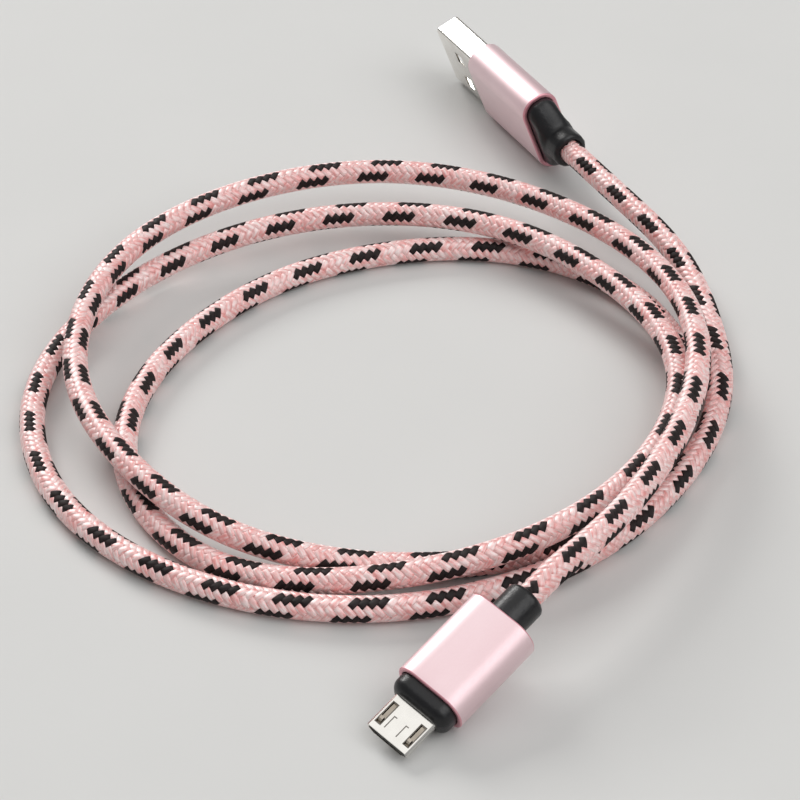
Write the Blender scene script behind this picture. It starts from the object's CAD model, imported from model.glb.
"""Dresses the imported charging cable: braided cord, two plugs in rose sleeves, table and soft light.

Lengths are in metres, apart from the points of the cord's route and the yarns' map, which are in
millimetres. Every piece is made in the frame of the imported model. A plug is drawn in its own frame
first (x across it, y from its mouth towards the cord, z out of its upper wide face) and is then
laid on the table by its pose.
"""

import logging
import math
from dataclasses import dataclass, field
from enum import Enum
from typing import Any

import bpy
import numpy as np
from mathutils import Matrix
from numpy.typing import NDArray


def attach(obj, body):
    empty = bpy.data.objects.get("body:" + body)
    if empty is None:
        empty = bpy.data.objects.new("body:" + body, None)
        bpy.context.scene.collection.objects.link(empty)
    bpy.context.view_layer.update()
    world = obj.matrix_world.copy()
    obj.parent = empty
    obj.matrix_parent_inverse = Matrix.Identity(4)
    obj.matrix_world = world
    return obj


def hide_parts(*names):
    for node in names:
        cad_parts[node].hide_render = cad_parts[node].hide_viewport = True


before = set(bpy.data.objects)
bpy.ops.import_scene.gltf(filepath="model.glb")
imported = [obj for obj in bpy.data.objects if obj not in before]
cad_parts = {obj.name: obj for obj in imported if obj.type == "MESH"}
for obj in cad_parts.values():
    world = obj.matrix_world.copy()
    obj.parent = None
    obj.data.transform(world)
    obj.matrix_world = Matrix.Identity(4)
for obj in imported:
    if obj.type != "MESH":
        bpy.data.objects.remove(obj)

Array = NDArray[np.float64]
Faces = NDArray[np.int64]
Pair = tuple[float, float]
Triple = tuple[float, float, float]
Colour = Triple
Material = bpy.types.Material
Piece = bpy.types.Object
Socket = bpy.types.NodeSocket

MM = 0.001
BODY = "cable"
YARN_MAP = "yarn"
RIM_ATTRIBUTE = "rim"
MID_NOISE = (0.3, 0.7)  # where most values of a noise lie
PATCHES = (0.35, 0.7)  # a range that leaves more of a surface in its first colour
log = logging.getLogger("cable")


# ---- finishes ----


class ShaderGraph:
    """Node graph of one finish, with short calls for the nodes that the finishes share."""

    def __init__(self, name: str) -> None:
        """Makes an empty material with its Principled shader."""
        self.material = bpy.data.materials.new(name)
        self.material.use_nodes = True
        self.tree = self.material.node_tree
        self.shader = self.tree.nodes["Principled BSDF"]

    def node(self, kind: str, settings: dict[str, Any] | None = None, **inputs: Any) -> bpy.types.Node:
        """Adds one node.

        Args:
            kind: Blender's name of the node's type.
            settings: properties of the node itself.
            inputs: value or socket for each input, by its name with spaces as underscores.

        Returns:
            The new node.
        """
        made = self.tree.nodes.new(kind)
        for key, value in (settings or {}).items():
            setattr(made, key, value)
        for key, value in inputs.items():
            self.feed(made.inputs[key.replace("_", " ")], value)
        return made

    def feed(self, socket: Socket, value: Any) -> None:
        """Links a socket to the input, or sets the input's own value."""
        if isinstance(value, Socket):
            self.tree.links.new(value, socket)
        else:
            socket.default_value = value

    def surface(self, **inputs: Any) -> None:
        """Sets or links inputs of the Principled shader, by their names with underscores."""
        for key, value in inputs.items():
            self.feed(self.shader.inputs[key.replace("_", " ")], value)

    def place(self, axes: Matrix | None = None, stretch: Triple = (1, 1, 1)) -> Socket:
        """Object coordinates, turned into a plug's own axes if they are given, then stretched."""
        found = self.node("ShaderNodeTexCoord").outputs["Object"]
        if axes is not None:
            found = self.node("ShaderNodeMapping", Vector=found, Rotation=axes.to_euler()).outputs["Vector"]
        return self.stretched(found, stretch)

    def stretched(self, vector: Socket, factors: Triple) -> Socket:
        """Coordinates multiplied by a factor on each axis."""
        return self.node("ShaderNodeMapping", Vector=vector, Scale=factors).outputs["Vector"]

    def noise(self, vector: Socket, scale: float, detail: float = 2.0, rough: float = 0.5) -> Socket:
        """Grey noise from 0 to 1 of the given scale."""
        made = self.node("ShaderNodeTexNoise", Vector=vector, Scale=scale, Detail=detail, Roughness=rough)
        return made.outputs["Fac"]

    def span(self, value: Socket, over: Pair, to: Pair = (0.0, 1.0)) -> Socket:
        """Maps one range of a value to another, clamped."""
        ends = {"From_Min": over[0], "From_Max": over[1], "To_Min": to[0], "To_Max": to[1]}
        return self.node("ShaderNodeMapRange", {"clamp": True}, Value=value, **ends).outputs["Result"]

    def blend(self, factor: Socket, first: Colour | Socket, second: Colour) -> Socket:
        """Colour that runs from the first to the second as the factor runs from 0 to 1."""
        made = self.node("ShaderNodeMix", {"data_type": "RGBA"})
        factor_in, first_in, second_in = (made.inputs[k] for k in (0, 6, 7))
        self.feed(factor_in, factor)
        self.feed(first_in, first if isinstance(first, Socket) else (*first, 1.0))
        self.feed(second_in, (*second, 1.0))
        return made.outputs[2]

    def math(self, operation: str, first: Any, second: Any = 0.0) -> Socket:
        """Result of one Math node."""
        made = self.node("ShaderNodeMath", {"operation": operation})
        self.feed(made.inputs[0], first)
        self.feed(made.inputs[1], second)
        return made.outputs[0]

    def relief(self, height: Socket, depth: float, strength: float = 1.0) -> None:
        """Bumps the surface by a height from 0 to 1, depth metres deep."""
        bump = self.node("ShaderNodeBump", Height=height, Distance=depth, Strength=strength)
        self.surface(Normal=bump.outputs["Normal"])


@dataclass(frozen=True)
class RoseAnodised:
    """Satin rose anodised aluminium: fine blasted grain, and a deeper rose on the rims."""

    light: Colour = (0.84, 0.65, 0.68)
    deep: Colour = (0.80, 0.59, 0.62)
    rim: Colour = (0.76, 0.34, 0.40)
    roughness: Pair = (0.50, 0.60)
    grain_scale: float = 9000.0
    grain_depth: float = 0.004 * MM
    grain_stretch: Triple = (1.0, 0.35, 1.0)
    drift_scale: float = 160.0

    def material(self, axes: Matrix) -> Material:
        """Builds the material, its grain drawn out along the plug whose directions are given."""
        graph = ShaderGraph("rose_anodised")
        along = graph.place(axes, self.grain_stretch)
        grain = graph.noise(along, self.grain_scale, 3.0, 0.6)
        drift = graph.span(graph.noise(along, self.drift_scale), MID_NOISE)
        rim = graph.node("ShaderNodeAttribute", {"attribute_name": RIM_ATTRIBUTE}).outputs["Fac"]
        graph.surface(
            Base_Color=graph.blend(rim, graph.blend(drift, self.deep, self.light), self.rim),
            Metallic=1.0,
            Roughness=graph.span(grain, MID_NOISE, self.roughness),
            Coat_Weight=1.0,
            Coat_Roughness=0.48,
            Coat_IOR=1.8,
        )
        graph.relief(grain, self.grain_depth)
        return graph.material


@dataclass(frozen=True)
class BlackMoulding:
    """Black moulded elastomer with a fine satin texture."""

    dark: Colour = (0.003, 0.003, 0.004)
    worn: Colour = (0.008, 0.008, 0.010)
    roughness: Pair = (0.27, 0.40)
    grain_scale: float = 3200.0
    grain_depth: float = 0.04 * MM
    cloud_scale: float = 420.0

    def material(self) -> Material:
        """Builds the material."""
        graph = ShaderGraph("black_moulding")
        where = graph.place()
        grain = graph.noise(where, self.grain_scale, 2.0, 0.55)
        cloud = graph.span(graph.noise(where, self.cloud_scale), PATCHES)
        graph.surface(
            Base_Color=graph.blend(cloud, self.dark, self.worn),
            Roughness=graph.span(grain, (0.25, 0.75), self.roughness),
            Specular_IOR_Level=0.42,
        )
        graph.relief(grain, self.grain_depth, 0.8)
        return graph.material


@dataclass(frozen=True)
class RolledMetal:
    """Plated or plain rolled sheet: fine scratches along the plug and a slow drift of tone."""

    name: str = "plated_steel"
    bright: Colour = (0.86, 0.84, 0.80)
    dull: Colour = (0.76, 0.73, 0.69)
    roughness: Pair = (0.10, 0.24)
    scratch_scale: float = 9000.0
    scratch_depth: float = 0.0012 * MM
    scratch_stretch: Triple = (1.0, 0.04, 1.0)
    smear_scale: float = 380.0

    def material(self, axes: Matrix) -> Material:
        """Builds the material, its scratches running along the plug whose directions are given."""
        graph = ShaderGraph(self.name)
        scratches = graph.noise(graph.place(axes, self.scratch_stretch), self.scratch_scale, 3.0, 0.65)
        smears = graph.span(graph.noise(graph.place(axes), self.smear_scale, 3.0), PATCHES)
        graph.surface(
            Base_Color=graph.blend(smears, self.bright, self.dull),
            Metallic=1.0,
            Roughness=graph.span(scratches, (0.3, 0.75), self.roughness),
        )
        graph.relief(scratches, self.scratch_depth)
        return graph.material


@dataclass(frozen=True)
class MouldedPlastic:
    """Rigid moulded plastic with a faint flow grain, as on the tongues and the wires."""

    name: str = "white_plastic"
    pale: Colour = (0.80, 0.80, 0.77)
    shade: Colour = (0.68, 0.68, 0.65)
    roughness: float = 0.38
    grain_scale: float = 4200.0
    grain_depth: float = 0.006 * MM
    flow_scale: float = 500.0

    def material(self) -> Material:
        """Builds the material."""
        graph = ShaderGraph(self.name)
        where = graph.place()
        grain = graph.noise(where, self.grain_scale)
        flow = graph.span(graph.noise(where, self.flow_scale), PATCHES)
        graph.surface(
            Base_Color=graph.blend(flow, self.pale, self.shade),
            Roughness=graph.span(grain, MID_NOISE, (self.roughness - 0.06, self.roughness + 0.08)),
        )
        graph.relief(grain, self.grain_depth, 0.6)
        return graph.material


GOLD = RolledMetal("gold_contacts", (0.86, 0.62, 0.26), (0.76, 0.50, 0.20), (0.16, 0.3))
CRIMP_STEEL = RolledMetal("crimp_steel", (0.7, 0.7, 0.7), (0.5, 0.5, 0.5), (0.25, 0.4))


@dataclass(frozen=True)
class YarnFinish:
    """Polyester yarn: fine filaments along it, a soft sheen and a tone that drifts along its length."""

    name: str
    light: Colour
    deep: Colour
    roughness: float = 0.46
    filaments: float = 9.0
    filament_depth: float = 0.05 * MM
    sheen: float = 0.2
    gloss: float = 1.0
    silkiness: float = 0.75
    coat: float = 1.0
    ior: float = 1.9

    def material(self) -> Material:
        """Builds the material, which reads the yarn's own map: u in millimetres along it, v round it."""
        graph = ShaderGraph(self.name)
        own = graph.node("ShaderNodeUVMap", {"uv_map": YARN_MAP}).outputs["UV"]
        strands = graph.noise(graph.stretched(own, (0.7, self.filaments, 1.0)), 1.0, 2.0, 0.6)
        drift = graph.noise(graph.stretched(own, (0.5, 1.0, 1.0)), 1.0)
        tone = graph.math("ADD", graph.math("MULTIPLY", strands, 0.65), graph.math("MULTIPLY", drift, 0.35))
        tangent = graph.node("ShaderNodeTangent", {"direction_type": "UV_MAP", "uv_map": YARN_MAP})
        graph.surface(
            Base_Color=graph.blend(graph.span(tone, (0.38, 0.62)), self.deep, self.light),
            Roughness=graph.span(strands, MID_NOISE, (self.roughness - 0.07, self.roughness + 0.1)),
            Specular_IOR_Level=self.gloss,
            Anisotropic=self.silkiness,
            Anisotropic_Rotation=0.25,
            Tangent=tangent.outputs["Tangent"],
            Sheen_Weight=self.sheen,
            Sheen_Roughness=0.4,
            Coat_Weight=self.coat,
            Coat_Roughness=0.42,
            IOR=self.ior,
        )
        graph.relief(strands, self.filament_depth, 0.9)
        return graph.material


@dataclass(frozen=True)
class TableFinish:
    """Plain pale table, a little softer in tone here and there."""

    pale: Colour = (0.67, 0.67, 0.66)
    shade: Colour = (0.64, 0.64, 0.63)
    cloud_scale: float = 35.0
    grain_scale: float = 1400.0
    grain_depth: float = 0.02 * MM

    def material(self) -> Material:
        """Builds the material."""
        graph = ShaderGraph("pale_table")
        where = graph.place()
        cloud = graph.noise(where, self.cloud_scale, 3.0)
        graph.surface(Base_Color=graph.blend(cloud, self.pale, self.shade), Roughness=0.75)
        graph.relief(graph.noise(where, self.grain_scale), self.grain_depth, 0.4)
        return graph.material


# ---- surfaces ----


def unit(vectors: Array) -> Array:
    """Scales each vector of the last axis to length 1."""
    return vectors / np.linalg.norm(vectors, axis=-1, keepdims=True)


def grid_faces(rows: int, columns: int, closed_rows: bool) -> Faces:
    """Quads of a grid of points whose columns close on themselves.

    Args:
        rows: number of rings.
        columns: number of points in each ring.
        closed_rows: True if the last ring is joined to the first, as on a ring-shaped body.

    Returns:
        Four point numbers for each quad: along the ring, then on to the next ring.
    """
    row = np.arange(rows if closed_rows else rows - 1)[:, None]
    column = np.arange(columns)[None, :]
    here, onward = row * columns, (row + 1) % rows * columns
    beside = (column + 1) % columns
    corners = (here + column, here + beside, onward + beside, onward + column)
    return np.stack(np.broadcast_arrays(*corners), axis=-1).reshape(-1, 4)


def facing_out(points: Array, quads: Faces) -> Faces:
    """A body's quads, turned over if they face inwards.

    They do if the sum of the triple products of each quad's two triangles, which is six times
    the volume inside, is below zero.
    """
    centred = points - points.mean(0)
    a, b, c, d = (centred[quads[:, k]] for k in range(4))
    volume = (a * np.cross(b, c)).sum() + (a * np.cross(c, d)).sum()
    return quads[:, ::-1] if volume < 0 else quads


def tube_faces(rings: Array) -> tuple[Faces, Faces]:
    """Faces of closed tubes that wind alike.

    Args:
        rings: points as (tubes, rings, points of a ring, 3).

    Returns:
        Point numbers of the walls' quads and of the caps on the ends, facing outwards.
    """
    tubes, count, columns = rings.shape[:3]
    quads = facing_out(rings[0].reshape(-1, 3), grid_faces(count, columns, closed_rows=False))
    shift = (np.arange(tubes) * count * columns)[:, None, None]
    ring = np.arange(columns)
    caps = np.stack([ring, ring + (count - 1) * columns]) + shift
    reversed_cap = 0 if quads[0, 1] == 1 else 1
    caps[:, reversed_cap] = caps[:, reversed_cap, ::-1]
    return (quads + shift).reshape(-1, 4), caps.reshape(-1, columns)


def new_piece(
    name: str, points: Array, faces: tuple[Faces, ...], material: Material, smooth: bool = True
) -> Piece:
    """Puts a finished mesh into the scene as one piece that rides on the cable.

    Args:
        name: the piece's name.
        points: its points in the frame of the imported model, in metres.
        faces: point numbers of its faces, in one array for each kind of face.
        material: its finish.
        smooth: True for smooth shading.

    Returns:
        The new object.
    """
    mesh = bpy.data.meshes.new(name)
    mesh.from_pydata(points.tolist(), [], [face for kind in faces for face in kind.tolist()])
    mesh.polygons.foreach_set("use_smooth", np.full(len(mesh.polygons), smooth))
    mesh.materials.append(material)
    mesh.update()
    made = bpy.data.objects.new(name, mesh)
    bpy.context.scene.collection.objects.link(made)
    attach(made, BODY)
    log.info("%s: %d points, %d faces", name, len(points), len(mesh.polygons))
    return made


def ring_body(name: str, rings: Array, material: Material, rim: Array | None = None) -> Piece:
    """Closed body whose rings run round a bore, so that the last is joined to the first.

    The rings are (rings, points of a ring, 3), and rim is each ring's share of the rim's finish.
    """
    count, columns = rings.shape[:2]
    points = rings.reshape(-1, 3)
    quads = facing_out(points, grid_faces(count, columns, closed_rows=True))
    made = new_piece(name, points, (quads,), material)
    shares = np.repeat(np.zeros(count) if rim is None else rim, columns)
    attribute = made.data.attributes.new(RIM_ATTRIBUTE, "FLOAT", "POINT")
    attribute.data.foreach_set("value", shares.astype(np.float32))
    return made


@dataclass(frozen=True)
class Oblong:
    """Rounded rectangle: each point is a corner's centre plus the corner's radius along a direction."""

    width: float
    thickness: float
    corner: float
    arc_steps: int = 12
    edge_shares: tuple[float, ...] = (0.02, 0.25, 0.5, 0.75, 0.98)

    def inset(self, by: float) -> "Oblong":
        """The same outline drawn in by a distance, its corners about the same centres."""
        width, thickness = self.width - 2 * by, self.thickness - 2 * by
        return Oblong(width, thickness, self.corner - by, self.arc_steps, self.edge_shares)

    def centres_and_directions(self) -> tuple[Array, Array]:
        """Corner centres and outward directions of the points, in their order round the outline."""
        half = np.array([self.width / 2 - self.corner, self.thickness / 2 - self.corner])
        signs = np.array([[1, 1], [-1, 1], [-1, -1], [1, -1]], dtype=float)
        start = np.radians(90.0) * np.arange(4)[:, None]
        angles = start + np.linspace(0.0, np.pi / 2, self.arc_steps + 1)
        arcs = np.stack([np.cos(angles), np.sin(angles)], axis=-1)
        corners = np.broadcast_to((signs * half)[:, None, :], arcs.shape)
        share = np.array(self.edge_shares)[None, :, None]
        onward = np.roll(signs, -1, axis=0) * half
        edges = (signs * half)[:, None, :] * (1 - share) + onward[:, None, :] * share
        normals = np.broadcast_to(arcs[:, -1:, :], edges.shape)
        return (
            np.concatenate([corners, edges], axis=1).reshape(-1, 2),
            np.concatenate([arcs, normals], axis=1).reshape(-1, 2),
        )

    def points(self, insets: Array | float = 0.0) -> Array:
        """Outline points, centre + (corner radius - inset) x direction, as (insets, points, 2)."""
        centres, directions = self.centres_and_directions()
        reach = self.corner - np.asarray(insets, dtype=float)
        return centres + reach[..., None, None] * directions

    def circle(self, radii: Array | float) -> Array:
        """Circles with as many points as the outline, each at the same share of the way round."""
        outline = self.points()
        steps = np.linalg.norm(np.roll(outline, -1, axis=0) - outline, axis=1)
        share = np.concatenate([[0.0], np.cumsum(steps)[:-1]]) / steps.sum()
        start = (self.thickness / 2 - self.corner) / steps.sum()
        angles = 2 * np.pi * (start + share)
        round_points = np.stack([np.cos(angles), np.sin(angles)], axis=-1)
        return np.asarray(radii, dtype=float)[..., None, None] * round_points


def lay_out(flat: Array, stations: Array) -> Array:
    """Rings of (x, z) outlines at distances y along a plug, as (rings, points, 3) in the plug's frame."""
    along = np.broadcast_to(stations[:, None], flat.shape[:2])
    return np.stack([flat[..., 0], along, flat[..., 1]], axis=-1)


def quarter_round(radius: float, steps: int = 6) -> tuple[Array, Array]:
    """Insets r (1 - sin a) and depths r (1 - cos a) of a rounded edge, a from 0 to 90 degrees."""
    angle = np.linspace(0.0, np.pi / 2, steps + 1)
    return radius * (1 - np.sin(angle)), radius * (1 - np.cos(angle))


def cubic_through(where: Array, values: Array, at: Array) -> Array:
    """Natural cubic through values, whose second derivatives at the knots solve its tridiagonal equations.

    Args:
        where: rising places of the knots.
        values: the knots' values as (knots, columns).
        at: places wanted.

    Returns:
        Values as (places, columns).
    """
    gaps = np.diff(where)
    inner = np.arange(1, len(where) - 1)
    system = np.eye(len(where))
    system[inner, inner - 1] = gaps[:-1] / 6
    system[inner, inner] = (gaps[:-1] + gaps[1:]) / 3
    system[inner, inner + 1] = gaps[1:] / 6
    right = np.zeros_like(values)
    right[1:-1] = np.diff(np.diff(values, axis=0) / gaps[:, None], axis=0)
    bends = np.linalg.solve(system, right)
    left = np.clip(np.searchsorted(where, at, side="right") - 1, 0, len(where) - 2)
    width = gaps[left][:, None]
    after = (at - where[left])[:, None] / width
    before = 1.0 - after
    straight = before * values[left] + after * values[left + 1]
    bent = (before**3 - before) * bends[left] + (after**3 - after) * bends[left + 1]
    return straight + bent * width**2 / 6


# ---- where things lie ----


@dataclass(frozen=True)
class PlugPose:
    """How a plug lies on the table: its mouth's place and its heading, rise and lean in degrees."""

    place: Pair
    heading: float
    tilt: float
    roll: float
    sleeve: Oblong
    sleeve_front: float

    def axes(self) -> Array:
        """The plug's across, along and up directions as rows."""
        heading, tilt, roll = np.radians([self.heading, self.tilt, self.roll])
        along = np.array([np.cos(tilt) * np.cos(heading), np.cos(tilt) * np.sin(heading), np.sin(tilt)])
        level = np.array([np.sin(heading), -np.cos(heading), 0.0])
        across = level * np.cos(roll) + np.cross(level, along) * np.sin(roll)
        return np.array([across, along, np.cross(across, along)])

    def origin(self) -> Array:
        """Middle of the plug's mouth, at the height at which its sleeve touches the table."""
        axes, bar = self.axes(), self.sleeve
        x, z = axes[0, 2], axes[2, 2]
        height = (bar.width / 2 - bar.corner) * abs(x) + (bar.thickness / 2 - bar.corner) * abs(z)
        height += bar.corner * math.hypot(x, z) - self.sleeve_front * axes[1, 2]
        return np.array([*self.place, height])

    def to_room(self, local: Array) -> Array:
        """Carries points from the plug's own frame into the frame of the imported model."""
        return self.origin() + local @ self.axes()

    def on_axis(self, distance: float) -> Array:
        """Point on the plug's axis at a distance from its mouth."""
        return self.to_room(np.array([0.0, distance, 0.0]))

    def turn(self) -> Matrix:
        """Rotation that turns object coordinates into the plug's own directions."""
        return Matrix(self.axes().tolist())


@dataclass(frozen=True)
class Route:
    """The cord's way from plug to plug, with its points in millimetres.

    The loops lie round a middle point, each station as distance from it and lift of the cord
    above the table. The free stretches' points are x, y and lift.
    """

    radius: float = 1.9 * MM
    straight: float = 4.18 * MM
    loops_middle: Pair = (-16.3, -6.3)
    stations_per_turn: int = 12
    turns: tuple[Pair, ...] = (
        (51.4, 0), (48.4, 0), (47.8, 0), (48.8, 0), (50.7, 0), (52.8, 0),
        (51.3, 0), (45.3, 1.2), (40.5, 2.6), (39, 3.2), (38.7, 4.3), (40.4, 4.5),
        (44.4, 4.3), (44.6, 4.3), (44.8, 4.3), (44.6, 1.8), (45.9, 0), (42, 0),
        (35.3, 0), (30.6, 0), (29.9, 0), (32.3, 0), (38.4, 0), (44.8, 0),
        (46.3, 0), (43.4, 0), (43.2, 0), (40.2, 0), (42.2, 3), (43.2, 4.7),
        (45.7, 4.5), (47.3, 5.4), (47.4, 5.5), (47.9, 5.3), (47.9, 4.9), (48.3, 5.2),
        (47.4, 7.4), (47.9, 8.4),
    )
    usb_stretch: tuple[Triple, ...] = (
        (20.2, 37.1, 6), (25.1, 30.5, 4.8), (29.7, 24.3, 3), (33.1, 16.7, 1), (34.9, 6.7, 0),
    )
    micro_stretch: tuple[Triple, ...] = (
        (20.1, -40.1, 8.5), (15.3, -47.3, 8.6), (10.9, -52.7, 8.6),
    )
    knot_steps: int = 60
    smoothing: float = 1.6 * MM
    samples: int = 5841

    def inside(self, plug: PlugPose, ends: Pair) -> list[Array]:
        """The cord's points on a plug's axis, from its end inside to the relief and just past it."""
        inner, outer = ends
        return [plug.on_axis(d) for d in (inner, (inner + outer) / 2, outer, outer + self.straight)]

    def knots(self, usb: PlugPose, micro: PlugPose, usb_ends: Pair, micro_ends: Pair) -> Array:
        """Points that the cord passes through.

        Args:
            usb: pose of the USB-A plug.
            micro: pose of the micro-USB plug.
            usb_ends: distances from the mouth of the cord's inner end and of the relief's end.
            micro_ends: the same for the other plug.

        Returns:
            Points in metres, from the USB-A plug's inside to the micro-USB plug's.
        """
        stations = np.array(self.turns) * MM
        angle = -2 * np.pi * np.arange(len(stations)) / self.stations_per_turn
        loops = np.stack([
            self.loops_middle[0] * MM + stations[:, 0] * np.cos(angle),
            self.loops_middle[1] * MM + stations[:, 0] * np.sin(angle),
            self.radius + stations[:, 1],
        ], axis=1)
        lift = np.array([0.0, 0.0, self.radius])
        return np.concatenate([
            self.inside(usb, usb_ends), np.array(self.usb_stretch) * MM + lift, loops,
            np.array(self.micro_stretch) * MM + lift, self.inside(micro, micro_ends)[::-1],
        ])

    def centreline(self, knots: Array) -> Array:
        """Smooth line through the knots, evenly spaced.

        A cubic through the knots whose second derivative is continuous is evaluated by chord
        length. Its height is kept off the table, and a short moving average, weighted as a
        bell, takes out the kinks that this leaves.
        """
        chord = np.concatenate([[0.0], np.cumsum(np.linalg.norm(np.diff(knots, axis=0), axis=1))])
        at = np.linspace(0.0, chord[-1], len(knots) * self.knot_steps)
        line = cubic_through(chord, knots, at)
        line[:, 2] = np.maximum(line[:, 2], self.radius)
        step = chord[-1] / (len(at) - 1)
        reach = max(1, round(3 * self.smoothing / step))
        bell = np.exp(-0.5 * (np.arange(-reach, reach + 1) * step / self.smoothing) ** 2)
        bell /= bell.sum()
        lead_in = 2 * line[:1] - line[reach:0:-1]
        lead_out = 2 * line[-1:] - line[-2 : -reach - 2 : -1]
        padded = np.concatenate([lead_in, line, lead_out])
        line = np.stack([np.convolve(padded[:, k], bell, mode="valid") for k in range(3)], axis=1)
        return self.even(line, self.samples)

    @staticmethod
    def even(line: Array, samples: int) -> Array:
        """The same line with evenly spaced points."""
        run = np.concatenate([[0.0], np.cumsum(np.linalg.norm(np.diff(line, axis=0), axis=1))])
        wanted = np.linspace(0.0, run[-1], samples)
        return np.stack([np.interp(wanted, run, line[:, k]) for k in range(3)], axis=1)


# ---- braid ----


class Hand(Enum):
    """Which way a yarn winds round the cord."""

    RIGHT = 1
    LEFT = -1


@dataclass(frozen=True)
class YarnGroup:
    """Yarns that make one piece: their hand, their places among the eight of that hand, their finish."""

    name: str
    hand: Hand
    places: tuple[int, ...]
    finish: YarnFinish


ROSE_YARN = YarnFinish("rose_yarn", light=(1.0, 0.80, 0.78), deep=(0.88, 0.27, 0.25))
BLACK_YARN = YarnFinish(
    "black_yarn", light=(0.030, 0.020, 0.020), deep=(0.006, 0.004, 0.004),
    roughness=0.6, sheen=0.0, gloss=0.25, coat=0.0, ior=1.5,
)


def yarn_groups() -> tuple[YarnGroup, ...]:
    """The sixteen yarns, two to a group: four of the right hand's eight are black."""
    kinds = (
        ("yarns_black", Hand.RIGHT, 0, "ab", BLACK_YARN),
        ("yarns_rose_right", Hand.RIGHT, 4, "ab", ROSE_YARN),
        ("yarns_rose_left", Hand.LEFT, 0, "abcd", ROSE_YARN),
    )
    return tuple(
        YarnGroup(f"{name}_{letter}", hand, (first + 2 * k, first + 2 * k + 1), finish)
        for name, hand, first, letters, finish in kinds
        for k, letter in enumerate(letters)
    )


def level_and_up(line: Array) -> tuple[Array, Array]:
    """At each point of a line the level direction to its right, and the one square to both."""
    ahead = unit(np.gradient(line, axis=0))
    side = unit(np.cross(ahead, np.array([0.0, 0.0, 1.0])))
    return side, np.cross(side, ahead)


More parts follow.
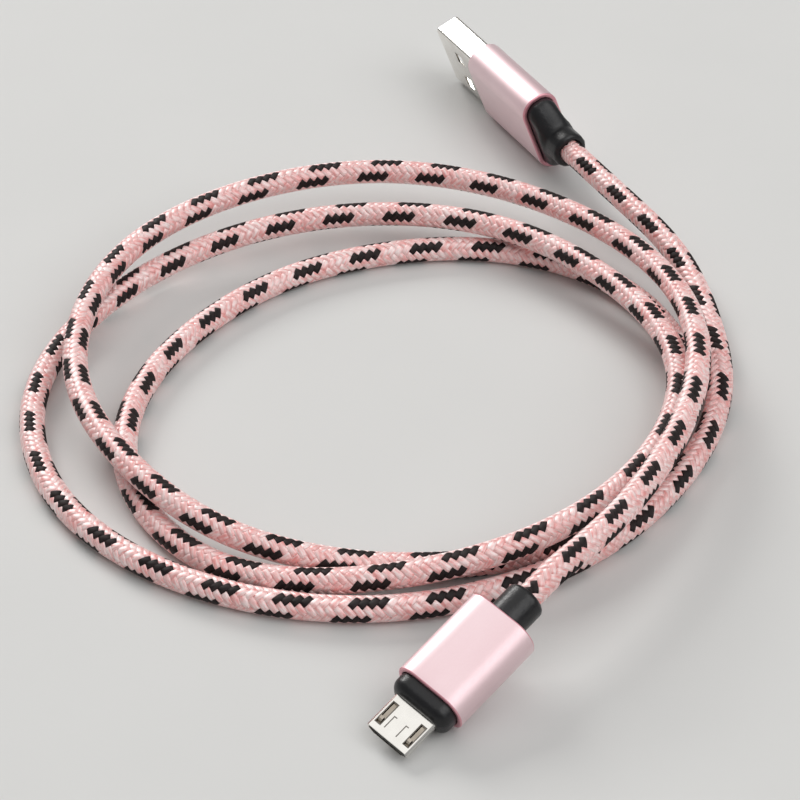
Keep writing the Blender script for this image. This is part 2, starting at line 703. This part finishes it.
@dataclass
class BraidedCord:
    """Sixteen flat yarns, each over two and under two of the other hand, round a soft core."""

    line: Array
    length: float = 975 * MM
    diameter: float = 3.8 * MM
    core_radius: float = 1.42 * MM
    yarn_width: float = 0.99 * MM
    yarn_thickness: float = 0.31 * MM
    wave: float = 0.175 * MM
    wave_sharpness: float = 4.5
    yarns_per_hand: int = 8
    section_points: int = 8
    section_flatness: float = 0.36
    core_points: int = 12
    core_every: int = 16
    map_shift: Pair = (37.0, 5.0)
    lays: tuple[Triple, ...] = (
        (0.0, -2.5, 36), (0.0195, -0.16, 36), (0.053, 3.84, 44), (0.076, 5.84, 92), (0.109, 8.84, 120),
        (0.131, 10.84, 102), (0.184, 15.84, 105), (0.2135, 18.84, 97), (0.232, 20.84, 80), (0.2585, 23.6, 92),
        (0.2785, 25.6, 104), (0.309, 28.6, 98), (0.345, 32.05, 100), (0.3695, 34.84, 76), (0.3995, 37.84, 82),
        (0.431, 40.84, 78), (0.4625, 43.84, 68), (0.483, 45.84, 68), (0.5025, 47.84, 44), (0.521, 49.84, 47),
        (0.551, 52.84, 32), (0.5825, 55.84, 42), (0.6355, 60.84, 87), (0.666, 63.84, 118), (0.719, 68.84, 158),
        (0.749, 71.84, 147), (0.7775, 74.84, 117), (0.796, 76.84, 88), (0.849, 81.84, 85), (0.878, 84.84, 98),
        (0.9075, 87.84, 78), (0.928, 89.84, 82), (0.9395, 90.84, 94), (0.970, 93.84, 92), (1.0, 96.85, 104),
    )
    groups: tuple[YarnGroup, ...] = yarn_groups()
    pieces: list[Piece] = field(default_factory=list)

    def length_of_line(self) -> float:
        """Length of the line in metres."""
        return float(np.linalg.norm(np.diff(self.line, axis=0), axis=1).sum())

    def turns_and_twist(self) -> tuple[Array, Array]:
        """Turns of the yarns up to each point of the line, and the slow twist of the whole braid in radians.

        Both are a natural cubic through the lays, which are fitted to where the black dashes lie:
        share of the way along the line, turns and degrees.
        """
        knots = np.array(self.lays, dtype=float)
        share = np.linspace(0.0, 1.0, len(self.line))
        turns, degrees = cubic_through(knots[:, 0], knots[:, 1:], share).T
        return turns, np.radians(degrees)

    def paths(self, hand: Hand, places: tuple[int, ...]) -> tuple[Array, Array, Array]:
        """Centre lines of some yarns.

        A yarn turns once round the cord in each lay. Its distance from the cord's middle
        rises where it lies over the other hand's yarns and falls where it lies under them:
        a cosine with four crossings to a wave, flattened by a hyperbolic tangent.

        Args:
            hand: which way the yarns wind.
            places: which of the eight of that hand.

        Returns:
            Points, outward directions and the wave's height from -1 to 1, for each yarn.
        """
        side, up = level_and_up(self.line)
        place = np.array(places, dtype=float)[:, None]
        turns, twist = self.turns_and_twist()
        crossing = 2 * self.yarns_per_hand * turns
        angle = 2 * np.pi * (hand.value * turns + place / self.yarns_per_hand) + twist
        phase = crossing + 2 * place - 0.5 if hand is Hand.RIGHT else crossing - 2 * place + 2.5
        height = np.tanh(self.wave_sharpness * np.cos(np.pi / 2 * phase)) / np.tanh(self.wave_sharpness)
        outward = np.cos(angle)[..., None] * side + np.sin(angle)[..., None] * up
        middle = self.diameter / 2 - self.wave - self.yarn_thickness / 2
        return self.line + (middle + self.wave * height)[..., None] * outward, outward, height

    def sections(self, points: Array, outward: Array, height: Array) -> Array:
        """Flat sections square to each yarn, a little wider where it lies on top: a superellipse whose
        width and thickness run as the cosine and sine raised to the section's flatness.

        Args:
            points: centre lines of the yarns.
            outward: directions away from the cord's middle.
            height: the wave's height.

        Returns:
            Points as (yarns, samples, section points, 3).
        """
        ahead = unit(np.gradient(points, axis=1))
        lift = unit(outward - (outward * ahead).sum(-1, keepdims=True) * ahead)
        across = np.cross(ahead, lift)
        angle = 2 * np.pi * np.arange(self.section_points) / self.section_points
        flat = np.sign(np.cos(angle)) * np.abs(np.cos(angle)) ** self.section_flatness
        thick = np.sign(np.sin(angle)) * np.abs(np.sin(angle)) ** self.section_flatness
        width = self.yarn_width / 2 * (1.0 + 0.05 * height)[..., None, None]
        return (
            points[:, :, None, :]
            + width * flat[:, None] * across[:, :, None, :]
            + self.yarn_thickness / 2 * thick[:, None] * lift[:, :, None, :]
        )

    def yarn_piece(self, group: YarnGroup, finish: Material) -> None:
        """Makes the yarns of one group as one piece with its own map, ends closed."""
        sections = self.sections(*self.paths(group.hand, group.places))
        walls, caps = tube_faces(sections)
        made = new_piece(group.name, sections.reshape(-1, 3), (walls, caps), finish)
        self.map_yarns(made, walls, caps)
        self.pieces.append(made)

    def map_yarns(self, piece: Piece, walls: Faces, caps: Faces) -> None:
        """Gives each yarn u in millimetres along it and v from 0 to 1 round it.

        A yarn runs at about 45 degrees, so it is longer than the cord by the root of two. v is
        carried past the seam, and each yarn's map is shifted, so that no two look alike.
        """
        samples, columns = len(self.line), self.section_points
        numbers = np.concatenate([walls.ravel(), caps.ravel()])
        ring = numbers % columns
        around = ring / columns
        wall_ring = ring[: walls.size].reshape(-1, 4)
        wraps = (wall_ring == 0) & (wall_ring.max(axis=1, keepdims=True) == columns - 1)
        around[: walls.size] += wraps.ravel()
        sample = numbers // columns % samples
        yarn = numbers // (samples * columns)
        along = sample * (self.length_of_line() / (samples - 1)) * math.sqrt(2.0) / MM
        uv = np.stack([along + self.map_shift[0] * yarn, around + self.map_shift[1] * yarn], axis=1)
        layer = piece.data.uv_layers.new(name=YARN_MAP)
        layer.uv.foreach_set("vector", uv.astype(np.float32).ravel())

    def core_piece(self) -> Piece:
        """Makes the core that shows dark between the yarns: a round tube along the cord, ends closed."""
        line = self.line[:: self.core_every]
        side, up = level_and_up(line)
        angle = (2 * np.pi * np.arange(self.core_points) / self.core_points)[None, :, None]
        outward = np.cos(angle) * side[:, None, :] + np.sin(angle) * up[:, None, :]
        rings = line[:, None, :] + self.core_radius * outward
        finish = MouldedPlastic("cord_core", (0.20, 0.075, 0.07), (0.12, 0.045, 0.045), 0.7)
        faces = tube_faces(rings[None])
        return new_piece("cord_core", rings.reshape(-1, 3), faces, finish.material())

    def build(self, exit_point: Array, on_the_cord: list[Piece]) -> None:
        """Args:
            exit_point: where the cord leaves the USB-A plug's strain relief.
            on_the_cord: pieces of the plug at its far end.
        """
        core = self.core_piece()
        finishes = {group.finish.name: group.finish for group in self.groups}
        materials = {name: finish.material() for name, finish in finishes.items()}
        for group in self.groups:
            self.yarn_piece(group, materials[group.finish.name])
        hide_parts("cord_lead_usb_a", "cord_coil", "cord_lead_micro")
        log.info("cord: %.1f mm along its middle", self.length_of_line() / MM)


# ---- plugs ----


@dataclass(frozen=True)
class Sleeve:
    """Rounded aluminium tube with softly rounded end edges."""

    outline: Oblong
    front: float
    length: float
    wall: float = 0.7 * MM
    edge: float = 0.25 * MM
    inner_edge: float = 0.1 * MM

    def rings(self) -> tuple[Array, Array, Array]:
        """Profile carried round the outline: outer wall front to rear, then the bore back to the front.

        Returns:
            Insets from the outer wall, distances from the plug's mouth, and the share of rim finish.
        """
        inset, depth = quarter_round(self.edge)
        inner_inset, inner_depth = quarter_round(self.inner_edge, 3)
        flat = np.array([0.08, 0.3, 0.5, 0.7, 0.92])
        span = self.edge + (self.length - 2 * self.edge) * flat
        bore = self.length - self.inner_edge - (self.length - 2 * self.inner_edge) * flat
        insets = np.concatenate([
            inset, 0 * span, inset[::-1],
            self.wall - inner_inset, self.wall + 0 * bore, self.wall - inner_inset[::-1],
        ])
        depths = np.concatenate([
            depth, span, self.length - depth[::-1],
            self.length - inner_depth, bore, inner_depth[::-1],
        ])
        rim = np.concatenate([
            np.ones(len(inset) - 1), [0.0], 0 * span, [0.0], np.ones(len(inset) - 1),
            np.ones(len(inner_inset)), 0 * bore, np.ones(len(inner_inset)),
        ])
        return insets, self.front + depths, rim

    def build(self, prefix: str, pose: PlugPose) -> Piece:
        """Makes the sleeve in place of its plain solid."""
        insets, stations, rim = self.rings()
        rings = pose.to_room(lay_out(self.outline.points(insets), stations))
        finish = RoseAnodised().material(pose.turn())
        made = ring_body(f"{prefix}_sleeve_skin", rings, finish, rim)
        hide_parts(f"{prefix}_sleeve")
        return made


def smooth_share(values: Array, start: float, end: float) -> Array:
    """Share from 0 at start to 1 at end along an S: 3 t^2 - 2 t^3."""
    share = np.clip((values - start) / (end - start), 0.0, 1.0)
    return share * share * (3 - 2 * share)


@dataclass
class Plug:
    """What both plugs share: their pose, sleeve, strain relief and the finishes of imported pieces."""

    pose: PlugPose
    pieces: list[Piece] = field(default_factory=list)
    prefix: str = "usb_a"
    cord_end: float = 25.9 * MM
    sleeve_length: float = 19 * MM
    relief_radius: float = 3 * MM
    relief_end: float = 39 * MM
    relief_edge: float = 0.7 * MM
    bore_radius: float = 2 * MM
    bore_flare: float = 0.12 * MM
    bore_flare_length: float = 0.3 * MM

    def dress_nodes(self, finishes: dict[str, Material]) -> None:
        """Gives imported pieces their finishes, by their nodes' names, and keeps them on the list."""
        for node, material in finishes.items():
            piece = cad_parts[node]
            for slot in piece.material_slots:
                slot.material = material
            self.pieces.append(piece)
            log.info("%s: %s", node, material.name)

    def build_shared(self) -> None:
        """Dresses the contacts, the crimp ring and the wires, and makes the sleeve."""
        turn = self.pose.turn()
        wires = MouldedPlastic(f"{self.prefix}_wires", (0.5, 0.05, 0.05), (0.35, 0.03, 0.03), 0.45)
        self.dress_nodes({
            f"{self.prefix}_contacts": GOLD.material(turn),
            f"{self.prefix}_crimp": CRIMP_STEEL.material(turn),
            f"{self.prefix}_wires": wires.material(),
        })
        sleeve = Sleeve(self.pose.sleeve, self.pose.sleeve_front, self.sleeve_length)
        self.pieces.append(sleeve.build(self.prefix, self.pose))

    def lathe(self, name: str, flat: Array, stations: Array, node: str) -> None:
        """Makes a black moulding from its rings in place of its plain solid."""
        rings = self.pose.to_room(lay_out(flat, stations))
        made = ring_body(name, rings, BlackMoulding().material())
        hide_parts(node)
        self.pieces.append(made)

    def relief_profile(self, outer: Array, start: float) -> tuple[Array, Array]:
        """Strain relief's profile: along the outside, round the rear edge and back through the bore.

        Args:
            outer: distances of the outside's rings from the plug's mouth.
            start: distance at which the bore ends inside the plug.

        Returns:
            Distances and radii of all its rings.
        """
        inset, depth = quarter_round(self.relief_edge)
        end, bore = self.relief_end, self.bore_radius
        stations = np.concatenate([outer, end - depth[::-1], [end, end - self.bore_flare_length, start]])
        radii = np.concatenate([
            np.full(len(outer), self.relief_radius), self.relief_radius - inset[::-1],
            [bore + self.bore_flare, bore, bore],
        ])
        return stations, radii


@dataclass
class UsbPlug(Plug):
    """USB-A plug: steel shell, rose sleeve and a black cap that slopes down to the strain relief."""

    sleeve: Oblong = Oblong(15 * MM, 6.6 * MM, 2.9 * MM)
    shell_out: float = 12.5 * MM
    cap_gap: float = 0.75 * MM
    cap_start: float = 29 * MM
    cap_middle: float = 31 * MM
    slope_start: float = 32.3 * MM
    slope_end: float = 35.9 * MM
    slope_steps: int = 22
    dome: float = 0.5 * MM

    def build(self) -> None:
        """Makes the plug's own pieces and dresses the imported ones."""
        self.dress_nodes({
            "usb_a_shell": RolledMetal().material(self.pose.turn()),
            "usb_a_insulator": MouldedPlastic().material(),
            "usb_a_inner_mould": BlackMoulding().material(),
        })
        self.build_shared()
        self.relief()

    def relief(self) -> None:
        """Makes the cap, its slope and the strain relief as one moulding.

        Each ring is the cap's outline blended into a circle: (1 - s) outline + s circle, with s
        from the S-shaped share of the way down the slope. The circle swells by a half wave on
        the slope, sin(pi s), so that the wide faces bulge there.
        """
        cap = self.sleeve.inset(self.cap_gap)
        outer = np.concatenate([
            [self.cap_start, self.cap_start + 0.2 * MM, self.cap_middle],
            np.linspace(self.slope_start, self.slope_end, self.slope_steps),
            [self.slope_end + 0.3 * MM, self.relief_end - 1.2 * MM],
        ])
        stations, radii = self.relief_profile(outer, self.cap_start)
        share = smooth_share(stations, self.slope_start, self.slope_end)
        share[-1] = 1.0
        swell = np.where(np.arange(len(share)) < len(outer), self.dome * np.sin(np.pi * share), 0.0)
        share = share[:, None, None]
        flat = (1 - share) * cap.points() + share * cap.circle(radii + swell)
        self.lathe("usb_a_relief_skin", flat, stations, "usb_a_strain_relief")


@dataclass
class MicroPlug(Plug):
    """Micro-USB plug: steel shell with its latches, black nose, rose sleeve and strain relief."""

    prefix: str = "micro"
    cord_end: float = 17.2 * MM
    sleeve_length: float = 14.6 * MM
    relief_radius: float = 2.85 * MM
    relief_end: float = 27.8 * MM
    relief_edge: float = 0.8 * MM
    sleeve: Oblong = Oblong(11 * MM, 7 * MM, 3.1 * MM)
    sleeve_front: float = 8.2 * MM
    shell_width: float = 6.85 * MM
    shell_thickness: float = 1.8 * MM
    slope_width: float = 1 * MM
    slope_height: float = 0.8 * MM
    bevel: float = 0.25 * MM
    shell_out: float = 5.6 * MM
    slot_start: float = 1 * MM
    slot_length: float = 3.45 * MM
    slot_width: float = 0.75 * MM
    slot_pitch: float = 4.9 * MM
    mark_length: float = 2.1 * MM
    mark_leg: float = 0.45 * MM
    mark_pitch: float = 2.02 * MM
    line_width: float = 0.15 * MM
    line_sunk: float = 0.02 * MM
    line_proud: float = 0.006 * MM
    nose_gap: float = 0.75 * MM
    nose_end: float = 14.2 * MM
    nose_round: float = 1.5 * MM
    nose_deepest_inset: float = 1.3 * MM
    hole_share: float = 0.985
    foot_start: float = 20.3 * MM

    def build(self) -> None:
        """Makes the plug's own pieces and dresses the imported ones."""
        turn = self.pose.turn()
        spring = RolledMetal("spring_steel", (0.46, 0.41, 0.35), (0.32, 0.28, 0.23), (0.2, 0.36))
        dark = MouldedPlastic("dark_plastic", (0.030, 0.030, 0.033), (0.018, 0.018, 0.02), 0.42)
        self.dress_nodes({
            "micro_shell": RolledMetal(bright=(0.84, 0.82, 0.78), dull=(0.77, 0.75, 0.71)).material(turn),
            "micro_latch_left": spring.material(turn),
            "micro_latch_right": spring.material(turn),
            "micro_insulator": dark.material(),
        })
        self.build_shared()
        self.nose()
        self.relief()
        self.shell_lines()

    def line_strips(self) -> Array:
        """Low and high x and y of the stamped marks and the slots' shaded edges, as (strips, 2, 2)."""
        start, end, line = self.slot_start, self.slot_start + self.slot_length, self.line_width
        strips: list[tuple[Pair, Pair]] = []
        for x in (-2 * self.mark_pitch / 3, self.mark_pitch / 3):
            rear = start + self.mark_length
            strips.append(((x - line / 2, start), (x + line / 2, rear)))
            strips.append(((x + line / 2, rear - line), (x + self.mark_leg, rear)))
        for x in (-self.slot_pitch / 2, self.slot_pitch / 2):
            left, right = x - self.slot_width / 2, x + self.slot_width / 2
            strips.append(((left - line, start - line), (left, end + line)))
            strips.append(((right, start - line), (right + line, end + line)))
            strips.append(((left, start - line), (right, start)))
            strips.append(((left, end), (right, end + line)))
        return np.array(strips)

    def shell_lines(self) -> None:
        """Makes the dark lines of the shell's upper face as one piece of thin closed boxes."""
        strips = self.line_strips()
        face = self.shell_thickness / 2
        levels = np.array([face - self.line_sunk, face + self.line_proud])
        pick = np.array([[0, 0], [1, 0], [1, 1], [0, 1]])
        flat = np.stack([strips[:, pick[:, 0], 0], strips[:, pick[:, 1], 1]], axis=-1)
        local = np.concatenate([
            np.broadcast_to(flat[:, None], (len(flat), 2, 4, 2)),
            np.broadcast_to(levels[None, :, None, None], (len(flat), 2, 4, 1)),
        ], axis=-1).reshape(-1, 3)
        box = np.array([[3, 2, 1, 0], [4, 5, 6, 7], [0, 1, 5, 4], [1, 2, 6, 5], [2, 3, 7, 6], [3, 0, 4, 7]])
        quads = (box[None] + 8 * np.arange(len(flat))[:, None, None]).reshape(-1, 4)
        points = self.pose.to_room(local)
        finish = MouldedPlastic("stamped_lines", (0.16, 0.14, 0.12), (0.10, 0.085, 0.07), 0.6).material()
        faces = (facing_out(points, quads),)
        made = new_piece("micro_shell_lines", points, faces, finish, smooth=False)
        self.pieces.append(made)

    def shell_corners(self) -> Array:
        """Corners of the shell's outline, sloped along its lower edges."""
        w, t = self.shell_width / 2, self.shell_thickness / 2
        right = np.array([
            [w - self.bevel, t], [w, t - self.bevel],
            [w, self.slope_height - t], [w - self.slope_width, -t],
        ])
        return np.concatenate([right, right[::-1] * [-1, 1]])

    def shell_outline(self, towards: Array) -> Array:
        """Where rays from the plug's axis meet the shell: the least edge distance over its normal's share."""
        corners = self.shell_corners()
        edges = np.roll(corners, -1, axis=0) - corners
        normals = unit(np.stack([-edges[:, 1], edges[:, 0]], axis=1))
        reach = (normals * corners).sum(1)
        normals, reach = normals * np.sign(reach)[:, None], np.abs(reach)
        rays = unit(towards)
        facing = rays @ normals.T
        distance = np.where(facing > 1e-6, reach / np.maximum(facing, 1e-6), np.inf).min(axis=1)
        return rays * distance[:, None]

    def nose(self) -> None:
        """Makes the pillow-shaped nose round the shell, from its rounded front back into the sleeve."""
        body = self.sleeve.inset(self.nose_gap)
        inset, depth = quarter_round(self.nose_round, 10)
        near = inset < self.nose_deepest_inset
        flanks = [1.8 * MM, 2.4 * MM, 3.2 * MM, self.nose_end - self.shell_out]
        outer = body.points(np.concatenate([inset[near], np.zeros(len(flanks))]))
        hole = self.shell_outline(body.points()) * self.hole_share
        flat = np.concatenate([outer, hole[None], hole[None]])
        stations = np.concatenate([
            self.shell_out + np.concatenate([depth[near], flanks]),
            [self.nose_end, self.shell_out + 0.01 * MM],
        ])
        self.lathe("micro_nose_skin", flat, stations, "micro_nose")

    def relief(self) -> None:
        """Makes the strain relief: a round post behind the sleeve with a foot inside it."""
        foot = self.sleeve.inset(self.nose_gap)
        sleeve_end = self.sleeve_front + self.sleeve_length
        post = np.array([sleeve_end + 0.01 * MM, sleeve_end + 0.3 * MM, self.relief_end - 1.6 * MM])
        distances, radii = self.relief_profile(post, self.foot_start)
        stations = np.concatenate([[self.foot_start, sleeve_end - 0.2 * MM, sleeve_end], distances])
        outline = np.broadcast_to(foot.points(), (3, *foot.points().shape))
        flat = np.concatenate([outline, foot.circle(radii)])
        self.lathe("micro_relief_skin", flat, stations, "micro_strain_relief")


# ---- room ----


@dataclass(frozen=True)
class Lamp:
    """Square soft lamp that faces the frame's origin."""

    name: str
    place: Triple
    size: float
    watts: float
    colour: Colour
    overhead_share: float = 0.99

    def build(self) -> None:
        """Puts the lamp into the scene."""
        data = bpy.data.lights.new(self.name, "AREA")
        data.size, data.energy, data.color = self.size, self.watts, self.colour
        lamp = bpy.data.objects.new(self.name, data)
        back = unit(np.array(self.place))
        overhead = abs(back[2]) > self.overhead_share
        right = unit(np.cross([0.0, 1.0, 0.0] if overhead else [0.0, 0.0, 1.0], back))
        towards = Matrix(np.array([right, np.cross(back, right), back]).T.tolist())
        lamp.matrix_world = Matrix.Translation(self.place) @ towards.to_4x4()
        bpy.context.scene.collection.objects.link(lamp)


@dataclass(frozen=True)
class Studio:
    """Camera, table, lamps and the pale surroundings."""

    camera_place: Triple = (-13.3 * MM, -309.7 * MM, 250.7 * MM)
    camera_pitch: float = 50.25
    lens: float = 117.0
    sensor: float = 36.0
    table_size: float = 16.0
    surroundings: float = 0.26
    backdrop: float = 0.35
    lamps: tuple[Lamp, ...] = (
        Lamp("top_lamp", (0.0, 0.30, 2.7), 3.15, 23.4, (1.0, 0.992, 0.98)),
        Lamp("key_lamp", (-1.44, 2.28, 1.56), 1.26, 54.0, (1.0, 0.985, 0.965)),
        Lamp("side_lamp", (1.65, -1.14, 2.10), 2.4, 36.0, (1.0, 1.0, 1.0)),
    )

    def camera(self) -> None:
        """Sets the camera where the cable is seen from."""
        data = bpy.data.cameras.new("camera")
        data.lens, data.sensor_width = self.lens, self.sensor
        made = bpy.data.objects.new("camera", data)
        made.location = self.camera_place
        made.rotation_euler = (math.radians(self.camera_pitch), 0.0, 0.0)
        bpy.context.scene.collection.objects.link(made)
        bpy.context.scene.camera = made

    def table(self) -> None:
        """Lays the pale table under the cable."""
        half = self.table_size / 2
        mesh = bpy.data.meshes.new("table")
        corners = [(-half, -half, 0.0), (half, -half, 0.0), (half, half, 0.0), (-half, half, 0.0)]
        mesh.from_pydata(corners, [], [(0, 1, 2, 3)])
        mesh.materials.append(TableFinish().material())
        made = bpy.data.objects.new("table", mesh)
        bpy.context.scene.collection.objects.link(made)

    def light(self) -> None:
        """Sets the lamps and the surroundings, paler where the camera or a reflection meets them."""
        for lamp in self.lamps:
            lamp.build()
        world = bpy.data.worlds.new("surroundings")
        bpy.context.scene.world = world
        world.use_nodes = True
        tree = world.node_tree
        background = tree.nodes["Background"]
        rays = tree.nodes.new("ShaderNodeLightPath")
        seen = tree.nodes.new("ShaderNodeMath")
        seen.operation = "MAXIMUM"
        tree.links.new(rays.outputs["Is Camera Ray"], seen.inputs[0])
        tree.links.new(rays.outputs["Is Glossy Ray"], seen.inputs[1])
        level = tree.nodes.new("ShaderNodeMapRange")
        level.inputs["To Min"].default_value = self.surroundings
        level.inputs["To Max"].default_value = self.backdrop
        tree.links.new(seen.outputs[0], level.inputs["Value"])
        tree.links.new(level.outputs["Result"], background.inputs["Strength"])
        background.inputs["Color"].default_value = (1.0, 1.0, 1.0, 1.0)
        bpy.context.scene.view_settings.view_transform = "Standard"


def main() -> None:
    """Builds the camera, the plugs, the cord and the room, in that order, and notes both boxes."""
    logging.basicConfig(level=logging.INFO, format="%(name)s: %(message)s")
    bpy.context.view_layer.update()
    studio = Studio()
    studio.camera()

    usb_pose = PlugPose((-3.2 * MM, 80 * MM), -62.3, 2.4, -110.0, UsbPlug.sleeve, UsbPlug.shell_out)
    micro_pose = PlugPose((-15 * MM, -79.4 * MM), 45.5, 15.5, -12.0, MicroPlug.sleeve, MicroPlug.sleeve_front)
    usb, micro = UsbPlug(usb_pose), MicroPlug(micro_pose)
    usb.build()
    micro.build()

    route = Route()
    knots = route.knots(
        usb_pose, micro_pose, (usb.cord_end, usb.relief_end), (micro.cord_end, micro.relief_end)
    )
    cord = BraidedCord(route.centreline(knots))
    cord.build(usb_pose.on_axis(usb.relief_end), micro.pieces)

    studio.table()
    studio.light()


if __name__ == "__main__":
    main()
